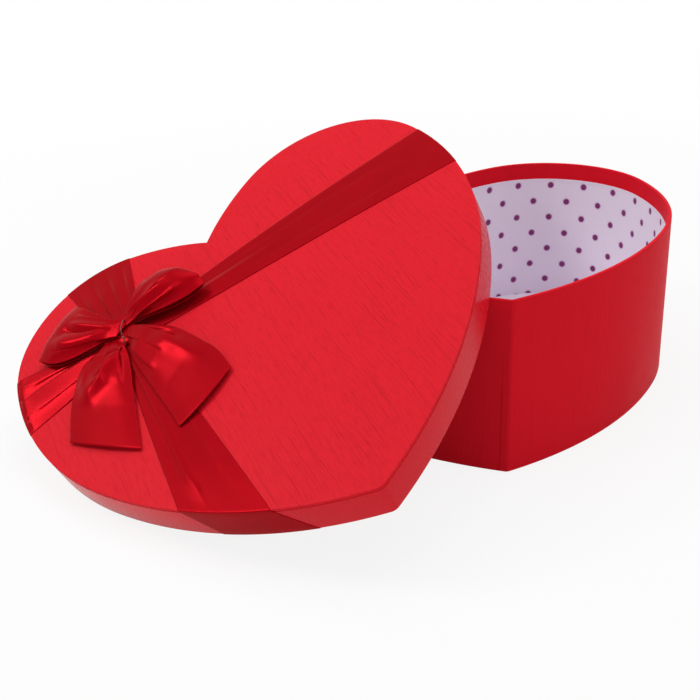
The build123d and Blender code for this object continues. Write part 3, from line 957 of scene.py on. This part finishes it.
across_left = ribbon_arm(
    ((-147, 92), (-147, 42)), heading=176.0, pleats=2, folds=(1.6, 0.0), crisp_length=30.0,
    creases=LEFT_CREASES,
)
across_right = ribbon_arm(
    ((146, 78.5), (146, 33)), heading=2.0, pleats=2, folds=(1.4, 0.15), crisp_length=40.0,
    creases=RIGHT_CREASES, bend=3.0,
)
joined_strip("ribbon_across_satin", "ribbon_across", across_left[::-1], across_right)
along_up = ribbon_arm(
    ((-91, 138), (-47, 133)), heading=90.0, pleats=4, folds=(1.4, 1.0), crisp_length=15.0, lift=1.2,
)
along_down = ribbon_arm(
    ((-91.8, -76.2), (-49.6, -110.6)), heading=-88.0, pleats=2, folds=(1.4, 0.3), crisp_length=40.0, lift=1.2,
    creases=LOW_CREASES, slant=math.radians(41.0),
)
joined_strip("ribbon_along_satin", "ribbon_along", along_up[::-1], along_down)

# %% [markdown]
# The bow's tails are one strip, gathered in the middle. Each tail is given by its two edges as the photograph
# shows them, a few points each, and the cloth between them arches up. Soft ridges run down from the knot. A
# flat strip could be bent by modifiers, but its edges would be harder to place.

# %% Ridges and tails
TAIL_ROWS = 64
TAIL_PLEATS, TAIL_FOLD = 3, 1.4             # how many, and their height in millimetres at the knot
TAIL_OPENS, TAIL_OPEN_POWER = 0.45, 1.5     # share of the tail where its pleats have gone
RIDGE_RISE, RIDGE_FALL = 0.18, 0.25         # shares of the way along


def ridges(share, along, shapes):
    """Sum of soft ridges: height exp(-((t - (t0 + t1 s)) / width)^2), rising from 0 at both ends of s.

    A shape is (t0, t1, width, height in millimetres, start, end).
    """
    total = np.zeros((len(along), len(share)))
    for t0, t1, width, height, start, end in shapes:
        line = (share[None] - (t0 + t1 * along[:, None])) / width
        rise = np.clip((along - start) / RIDGE_RISE, 0, 1) * np.clip((end - along) / RIDGE_FALL, 0, 1)
        total += height * np.exp(-(line**2)) * ease(rise)[:, None]
    return total


def tail(edges, bow, crown, shapes):
    """Strip between two edges, points in millimetres on the lid, arched by crown(s) 4 t (1 - t), with ridges.

    `crown` lists pairs of s and a height in millimetres. The middle of the tail is bowed outwards by `bow`
    at its cut end, which grows as s^3.
    """
    share, along = np.linspace(0, 1, STRIP_COLUMNS), np.linspace(0, 1, TAIL_ROWS)
    left, right = (smooth_path(np.array(edge) * MM, TAIL_ROWS)[:, None] for edge in edges)
    base = left + (right - left) * share[None, :, None]
    base[..., 1] -= bow * MM * along[:, None] ** 3 * arch(share)
    arched = np.interp(along, *np.array(crown).T)[:, None] * arch(share)
    base[..., 2] += (arched + ridges(share, along, shapes)) * MM
    open_out = np.clip(1 - along / TAIL_OPENS, 0, 1) ** TAIL_OPEN_POWER
    return gathered(base, TAIL_PLEATS, TAIL_FOLD * MM * open_out, open_out)


print("rows of a tail", TAIL_ROWS, "pleats", TAIL_PLEATS)

# %% [markdown]
# Both tails lie on the lid below the knot. One could be the other mirrored, but the real ones aren't alike,
# so each has its own edges, arch and ridges.

# %% The two tails
left_tail = tail(
    edges=(
        [(-80.5, 68.5, 3.6), (-100, 60.5, 5.0), (-116, 43, 3.0), (-127.7, 14.3, 1.6)],
        [(-73.5, 60.0, 3.6), (-76.5, 42, 3.4), (-84.5, 13, 2.4), (-93.7, -23.7, 1.4)],
    ),
    bow=1.5,
    crown=[(0.0, 0.0), (0.25, 3.2), (0.5, 3.2), (0.72, 1.6), (1.0, 1.0)],
    shapes=[(1.06, -1.20, 0.14, 2.8, 0.0, 0.76), (-0.40, 1.00, 0.12, 1.6, 0.15, 0.78)],
)
right_tail = tail(
    edges=(
        [
            (-67.3, 71.2, 4.4), (-55, 58.2, 5.0), (-43, 43, 4.8),
            (-35.3, 24, 4.0), (-30, 8, 3.2), (-29, -9.9, 2.4),
        ],
        [
            (-71, 58, 3.6), (-74, 44, 3.2), (-73, 24, 2.5),
            (-71.5, 3.5, 2.0), (-70.2, -14, 1.5), (-69.8, -25.6, 1.4),
        ],
    ),
    bow=3.0,
    crown=[(0.0, 0.0), (0.2, 2.8), (0.4, 3.0), (0.6, 1.8), (1.0, 1.3)],
    shapes=[
        (0.03, 0.0, 0.03, 1.4, 0.02, 0.5),
        (0.44, -0.36, 0.14, 1.5, 0.22, 0.75),
        (0.42, 0.0, 0.12, 1.6, -0.15, 0.25),
    ],
)
joined_strip("bow_tails_satin", "bow_tails", left_tail[::-1], right_tail)

# %% [markdown]
# Each loop leaves the knot, turns round at its far end and comes back above itself: a teardrop seen from the
# side. Going round by an angle p, a strand's reach is (1 - cos p) / 2 and its height swings by
# -sin p, so that it comes back on top. The loop is puffed in its middle, and its near edges droop
# together, so that its mouth is almost shut. A flattened tube would look much the same from afar, but it
# wouldn't be one strip that starts and ends in the knot.

# %% Teardrop loops
LOOP_ROWS = 110
LOOP_PLEATS, LOOP_FOLD = 3, 1.2             # how many, and their height in millimetres at the knot
LOOP_OPENS, LOOP_OPEN_POWER = 0.75, 1.3     # share of the loop where its pleats have gone
ROOT_HEIGHT, ROOT_CROWN, ROOT_SPLIT = 5.6, 1.3, 1.3     # millimetres
RIM_POWER = 0.75
BELLY_PLACE, BELLY_POWER = 1.1, 1.5
RISE_POWER = 1.6
UPPER_ONSET = 3.0                           # how quickly ridges come in on the upper layer


def smooth_across(share, points):
    """Heights across the ribbon on a smooth path through a few evenly spaced ones."""
    values = smooth_path(np.column_stack([np.linspace(0, 1, len(points)), points]), len(share))
    return np.interp(share, values[:, 0], values[:, 1])[None]


def bow_loop(root, end, rim, belly, middle, opening, shapes):
    """Teardrop loop from `root` to `end`, two points (far, near) each, in millimetres on the lid.

    `rim` pushes the middle of the far end outwards and `belly` the two edges sideways. `middle` and
    `opening` give, across the ribbon, the height of the loop's middle and half its opening.
    """
    share, angle = np.linspace(0, 1, STRIP_COLUMNS), np.linspace(0, 2 * np.pi, LOOP_ROWS)
    reach = (1 - np.cos(angle)) / 2
    root, end = np.array(root), np.array(end)
    start = root[0] + (root[1] - root[0]) * share[:, None]
    finish = end[0] + (end[1] - end[0]) * share[:, None]
    outward = finish.mean(axis=0) - start.mean(axis=0)
    outward /= np.linalg.norm(outward)
    finish = finish + outward * (rim * arch(share) ** RIM_POWER)[:, None]
    flat = start + (finish - start) * reach[:, None, None]
    across = (end[1] - end[0]) / np.linalg.norm(end[1] - end[0])
    sideways = belly[1] * share**BELLY_POWER - belly[0] * (1 - share) ** BELLY_POWER
    bulge = np.sin(np.pi * reach**BELLY_PLACE)[:, None] * sideways[None]
    flat = flat + across * bulge[..., None]
    rise = (1 - (1 - reach) ** RISE_POWER)[:, None]
    split = (ROOT_SPLIT * (angle / (2 * np.pi) - 0.5) * (1 - reach))[:, None]
    crowned = ROOT_HEIGHT + ROOT_CROWN * arch(share)
    level = crowned * (1 - rise) + split + smooth_across(share, middle) * rise
    level = level - (np.sin(angle) * np.sqrt(reach))[:, None] * smooth_across(share, opening)
    level = level + ridges(share, reach, shapes) * np.clip(-np.sin(angle) * UPPER_ONSET, 0, 1)[:, None]
    base = np.concatenate([flat, level[..., None]], axis=-1) * MM
    open_out = np.clip(1 - reach / LOOP_OPENS, 0, 1) ** LOOP_OPEN_POWER
    return gathered(base, LOOP_PLEATS, LOOP_FOLD * MM * open_out, open_out)


print("rows of a loop", LOOP_ROWS, "pleats", LOOP_PLEATS)

# %% [markdown]
# The right loop is puffed higher than the left, and its far end is rounder. One could be a copy of the other,
# but no two loops tied by hand are alike.

# %% The two loops
left_loop = bow_loop(
    root=((-70.5, 73.4), (-74.6, 67.2)),
    end=((-89.6, 113.5), (-124.3, 92.0)),
    rim=0.0,
    belly=(0.0, 10.5),
    middle=(6.5, 8.0, 8.0, 7.0, 4.0),
    opening=(4.0, 5.0, 5.0, 4.5, 1.4),
    shapes=[
        (0.36, 0.0, 0.04, 1.6, 0.02, 0.80),
        (0.50, 0.0, 0.09, -1.5, 0.1, 0.9),
        (0.68, 0.06, 0.09, 1.8, 0.1, 0.9),
        (0.90, 0.0, 0.045, 1.5, 0.05, 0.85),
    ],
)
right_loop = bow_loop(
    root=((-64.4, 76.2), (-67.0, 71.4)),
    end=((-42.5, 94.5), (-15.8, 60.5)),
    rim=7.5,
    belly=(1.5, 7.0),
    middle=(8.0, 11.0, 12.0, 10.0, 6.5),
    opening=(3.5, 6.0, 6.5, 4.5, 1.6),
    shapes=[
        (0.42, 0.0, 0.06, 1.2, 0.02, 0.7),
        (0.62, 0.0, 0.07, 1.6, 0.02, 0.75),
        (0.80, 0.0, 0.06, 1.6, 0.02, 0.8),
    ],
)
joined_strip("bow_loops_satin", "bow_loops", left_loop, right_loop[::-1])

# %% [markdown]
# A thin brown wire holds the gathers. It goes once round the middle of the bow and its two ends are twisted
# together in front. It has a brown lacquer that is worn in patches, where the metal shows. A plain brown
# would do at this size, but patches catch the light as bare metal does.

# %% Wire lacquer
WIRE_BROWN = colour(74, 44, 30)
WIRE_WORN = colour(150, 112, 84)
PATCHES_TO_A_METRE = 700.0
WORN_EDGE = (0.5, 0.68)
WORN_METAL = 0.7
LACQUER_ROUGHNESS, WORN_SMOOTH = 0.5, 0.2
WEAR_DEPTH = 0.02 * MM


def brown_wire(name):
    """Lacquered wire: worn lighter in patches, where the metal shows through."""
    finish = Finish(name, {"Specular IOR Level": 0.5})
    place = finish.add("ShaderNodeTexCoord", output="Object")
    values = {"Vector": place, "Scale": PATCHES_TO_A_METRE, "Detail": 3.0}
    patch = finish.add("ShaderNodeTexNoise", None, values, output="Fac")
    worn = patch.step(*WORN_EDGE)
    return finish.varies(
        Base_Color=finish.mix(worn, WIRE_BROWN, WIRE_WORN),
        Metallic=worn * WORN_METAL,
        Roughness=LACQUER_ROUGHNESS - worn * WORN_SMOOTH,
        Normal=finish.bump(patch, WEAR_DEPTH),
    )


wire_lacquer = brown_wire("tie_wire_lacquer")
print("wire finish", wire_lacquer.name)

# %% [markdown]
# The wire's path is half a ring for each end, then a helix about a short axis. A circle carried along the
# path makes the tube. A curve object with a round bevel could do this as well, but a grid is welded and
# finished like every other piece here.

# %% Tie wire
WIRE_RADIUS = 0.30 * MM
WIRE_SIDES = 10
WIRE_ROWS = 150

# Places and lengths of the wire are in millimetres on the lid.
UPRIGHT = np.array([0.0, 0.0, 1.0])
KNOT = np.array([-69.4, 68.9, 5.8])
KNOT_ACROSS = np.array([0.552, 0.834, 0.0])
KNOT_ALONG = np.array([0.68, -0.73, 0.0])
RING_HALF_LENGTH, RING_HALF_HEIGHT = 6.2, 3.9
RING_SHIFT = 0.35
TWIST_START = np.array([-72.5, 63.0, 5.6])
TWIST_END = np.array([-74.0, 59.4, 4.0])
TWIST_TURNS = 1.5
TWIST_RADIUS = 0.42
TWIST_OPENS_FROM, TWIST_OPENS_BY = 0.75, 0.9
SMOOTHING = 9                           # points that each point of the path is the mean of
OFF_PATH = np.array([0.9, 0.1, 0.42])   # a direction that no part of the wire follows


def tube_points(path, radius):
    """Rings of points round a path: two directions square to the path carry a circle along it."""
    ahead = np.gradient(path, axis=0)
    ahead /= np.linalg.norm(ahead, axis=1)[:, None]
    across = np.cross(ahead, OFF_PATH)
    across /= np.linalg.norm(across, axis=1)[:, None]
    over = np.cross(ahead, across)
    angle = np.linspace(0, 2 * np.pi, WIRE_SIDES, endpoint=False)[None, :, None]
    rings = path[:, None] + radius * (np.cos(angle) * across[:, None] + np.sin(angle) * over[:, None])
    tips = [np.broadcast_to(path[i], (1, WIRE_SIDES, 3)) for i in (0, -1)]
    return np.concatenate([tips[0], rings, tips[1]], axis=0)


def wire_path(side):
    """One end of the wire: half round the bow, then a helix about the twist's axis that opens at its tip."""
    half = np.linspace(0, 1, WIRE_ROWS // 2)[:, None]
    angle = side * np.pi * (1 - half)
    round_bow = KNOT - RING_HALF_LENGTH * np.cos(angle) * KNOT_ACROSS
    round_bow = round_bow + RING_HALF_HEIGHT * np.sin(angle) * UPRIGHT + RING_SHIFT * side * half * KNOT_ALONG
    axis = TWIST_END - TWIST_START
    along = np.linspace(0, 1, WIRE_ROWS)[1:]
    turn = 2 * np.pi * TWIST_TURNS * along + (0 if side > 0 else np.pi)
    first = np.cross(axis, UPRIGHT)
    first /= np.linalg.norm(first)
    second = np.cross(first, axis / np.linalg.norm(axis))
    spread = (TWIST_RADIUS + TWIST_OPENS_BY * np.clip(along - TWIST_OPENS_FROM, 0, 1))[:, None]
    circle = np.cos(turn)[:, None] * first + np.sin(turn)[:, None] * second
    helix = TWIST_START + axis * along[:, None] + circle * spread
    path = np.vstack([round_bow, helix])
    mean = np.ones(SMOOTHING) / SMOOTHING
    padded = np.pad(path, ((SMOOTHING // 2, SMOOTHING // 2), (0, 0)), mode="edge")
    return np.stack([np.convolve(padded[:, i], mean, mode="valid") for i in range(3)], axis=-1) * MM


wire_grids = [tube_points(on_lid(wire_path(side)), WIRE_RADIUS) for side in (1, -1)]
rows, sides = wire_grids[0].shape[:2]
wire_uv = np.stack(np.meshgrid(np.arange(sides + 1) / sides, np.arange(rows) / rows), axis=-1)
for label, grid in zip(("first", "second"), wire_grids):
    wire_end = weld(grid_mesh("tie_wire_" + label, grid, wire_uv, closed_u=True))
    place_piece(wire_end, "lid", "bow_tie_wire", wire_lacquer)

# %% [markdown]
# The boards, the bottom sheet, the floor paper and the lid's lining are flat and exact in the packed model,
# so they stay and only get their finish.

# %% Finishes of the packed pieces
KEPT_FINISHES = {
    "base_floor_board": greyboard,
    "base_wall_board": greyboard,
    "lid_top_board": greyboard,
    "lid_skirt_board": greyboard,
    "base_bottom_sheet": bottom_paper,
    "base_floor_liner": dotted_floor_paper,
    "lid_lining": lining_paper,
}
for node_name, material in KEPT_FINISHES.items():
    nodes[node_name].data.materials.clear()
    nodes[node_name].data.materials.append(material)
print("finished packed pieces", len(KEPT_FINISHES))

# %% [markdown]
# The floor is a plain pale sheet. Where the camera looks at it, most of its light is its own white, as on a
# lit studio table, and the rest is lit by the lamps, so that the shadow under the box still shows. Stronger
# lamps could make it white too, but they would bleach the box.

# %% Floor and backdrop
FLOOR_SIZE = 8.0                            # metres
FLOOR_DROP = 0.2 * MM
FLOOR_SHARE_LIT = 0.14
SHADOW_NEAR, SHADOW_FAR = 0.35, 0.95        # metres from the middle of the box
FLOOR_PALE, FLOOR_PALER = colour(238, 238, 238), colour(244, 244, 244)
TOOTH_TO_A_METRE = 40.0
WHITE = (1.0, 1.0, 1.0, 1.0)
MIRROR_RAYS = ("Is Glossy Ray", "Is Transmission Ray")


def lit_floor(name):
    """Diffuse white mixed with a white glow that only camera, mirror and glass rays see."""
    finish = Finish(name, {"Roughness": 0.9, "Specular IOR Level": 0.1})
    place = finish.add("ShaderNodeTexCoord", output="Object")
    values = {"Vector": place, "Scale": TOOTH_TO_A_METRE}
    tooth = finish.add("ShaderNodeTexNoise", None, values, output="Fac")
    finish.varies(Base_Color=finish.mix(tooth, FLOOR_PALE, FLOOR_PALER))
    path = finish.tree.nodes.new("ShaderNodeLightPath")
    seen = Signal(finish, path.outputs["Is Camera Ray"])
    for ray in MIRROR_RAYS:
        seen = seen.most(Signal(finish, path.outputs[ray]))
    glow = finish.add("ShaderNodeEmission", None, {"Color": WHITE, "Strength": 1.0})
    lit = Signal(finish, finish.shader.outputs[0])
    x, y = finish.flat_coordinates("Object")
    near = 1 - (x * x + y * y).root().step(SHADOW_NEAR, SHADOW_FAR)
    shares = {0: seen * (1 - near * FLOOR_SHARE_LIT), 1: lit, 2: glow}
    blend = finish.add("ShaderNodeMixShader", None, shares)
    finish.tree.links.new(blend.socket, finish.tree.nodes["Material Output"].inputs["Surface"])
    return finish.material


half_floor = FLOOR_SIZE / 2
corner_signs = ((-1, -1), (1, -1), (1, 1), (-1, 1))
floor_corners = [(x * half_floor, y * half_floor, -FLOOR_DROP) for x, y in corner_signs]
floor_mesh = bpy.data.meshes.new("floor")
floor_mesh.from_pydata(floor_corners, [], [(0, 1, 2, 3)])
floor_mesh.materials.append(lit_floor("studio_floor"))
floor = bpy.data.objects.new("floor", floor_mesh)
bpy.context.scene.collection.objects.link(floor)
print("floor", FLOOR_SIZE, "metres wide")

# %% [markdown]
# Three large soft lamps stand round the box: one high on the left, one overhead and one low on the right. One
# lamp could light it, but three give the satin its broad highlights and keep the shadows pale.

# %% Lamps
LAMP_TARGET = (-0.06, -0.04, 0.08)


def soft_lamp(name, place, target, size, watts):
    """Square area lamp of `size` metres at a place, aimed at a target."""
    data = bpy.data.lights.new(name, "AREA")
    data.size = size
    data.energy = watts
    lamp = bpy.data.objects.new(name, data)
    lamp.location = place
    lamp.rotation_euler = (Vector(target) - Vector(place)).to_track_quat("-Z", "Y").to_euler()
    bpy.context.scene.collection.objects.link(lamp)
    return lamp


soft_lamp("lamp_left", (-1.25, 0.05, 1.30), LAMP_TARGET, size=0.5, watts=9.0)
soft_lamp("lamp_over", (0.1, 0.2, 1.9), LAMP_TARGET, size=1.6, watts=16.6)
soft_lamp("lamp_right", (1.3, -1.2, 0.8), LAMP_TARGET, size=1.2, watts=4.0)
print("lamps", len(bpy.data.lights))

# %% [markdown]
# The world gives an even fill, and is plain white where the camera sees it. A backdrop could be hung behind
# the box, but the world is there from every side.

# %% World
WORLD_FILL = 0.38

world = bpy.data.worlds.new("studio")
bpy.context.scene.world = world
world.use_nodes = True
world_nodes, world_links = world.node_tree.nodes, world.node_tree.links
fill = world_nodes["Background"]
fill.inputs["Color"].default_value = WHITE
fill.inputs["Strength"].default_value = WORLD_FILL
backdrop = world_nodes.new("ShaderNodeBackground")
backdrop.inputs["Color"].default_value = WHITE
light_path = world_nodes.new("ShaderNodeLightPath")
choose = world_nodes.new("ShaderNodeMixShader")
seen_rays = light_path.outputs["Is Camera Ray"]
for ray in MIRROR_RAYS:
    either = world_nodes.new("ShaderNodeMath")
    either.operation = "MAXIMUM"
    world_links.new(seen_rays, either.inputs[0])
    world_links.new(light_path.outputs[ray], either.inputs[1])
    seen_rays = either.outputs[0]
world_links.new(seen_rays, choose.inputs[0])
world_links.new(fill.outputs[0], choose.inputs[1])
world_links.new(backdrop.outputs[0], choose.inputs[2])
world_links.new(choose.outputs[0], world_nodes["World Output"].inputs["Surface"])
print("world fill", WORLD_FILL)

# %% [markdown]
# The camera was solved from edges of the box in the photograph: how far round and how high it stands, its
# small tilt, its distance, and where its middle points. It could be placed by eye, but then errors of the
# view would look like errors of shape.

# %% Camera
SENSOR = 36.0                                           # millimetres
FOCAL_PIXELS = 1257.47
IMAGE_PIXELS = 700
AZIMUTH, ELEVATION, ROLL = -0.09416, 0.40912, -0.01955  # radians
DISTANCE = 849.86 * MM
AIM = np.array([-76.36, 16.08]) * MM
CLIP_START = 10.0 * MM

back = Vector(
    (
        math.sin(AZIMUTH) * math.cos(ELEVATION),
        -math.cos(AZIMUTH) * math.cos(ELEVATION),
        math.sin(ELEVATION),
    )
)
level_right = Vector((math.cos(AZIMUTH), math.sin(AZIMUTH), 0.0))
level_up = back.cross(level_right)
right = level_right * math.cos(ROLL) + level_up * math.sin(ROLL)
up = level_up * math.cos(ROLL) - level_right * math.sin(ROLL)
eye = back * DISTANCE + right * AIM[0] + up * AIM[1]
turn = Matrix((right, up, back)).transposed().to_4x4()
camera_data = bpy.data.cameras.new("camera")
camera_data.sensor_width = SENSOR
camera_data.lens = FOCAL_PIXELS * SENSOR / IMAGE_PIXELS
camera_data.clip_start = CLIP_START
camera = bpy.data.objects.new("camera", camera_data)
camera.matrix_world = Matrix.Translation(eye) @ turn
bpy.context.scene.collection.objects.link(camera)
bpy.context.scene.camera = camera
bpy.context.scene.view_settings.view_transform = "Standard"
print("lens mm", round(camera_data.lens, 2), "eye", [round(x, 3) for x in eye])

# %% [markdown]
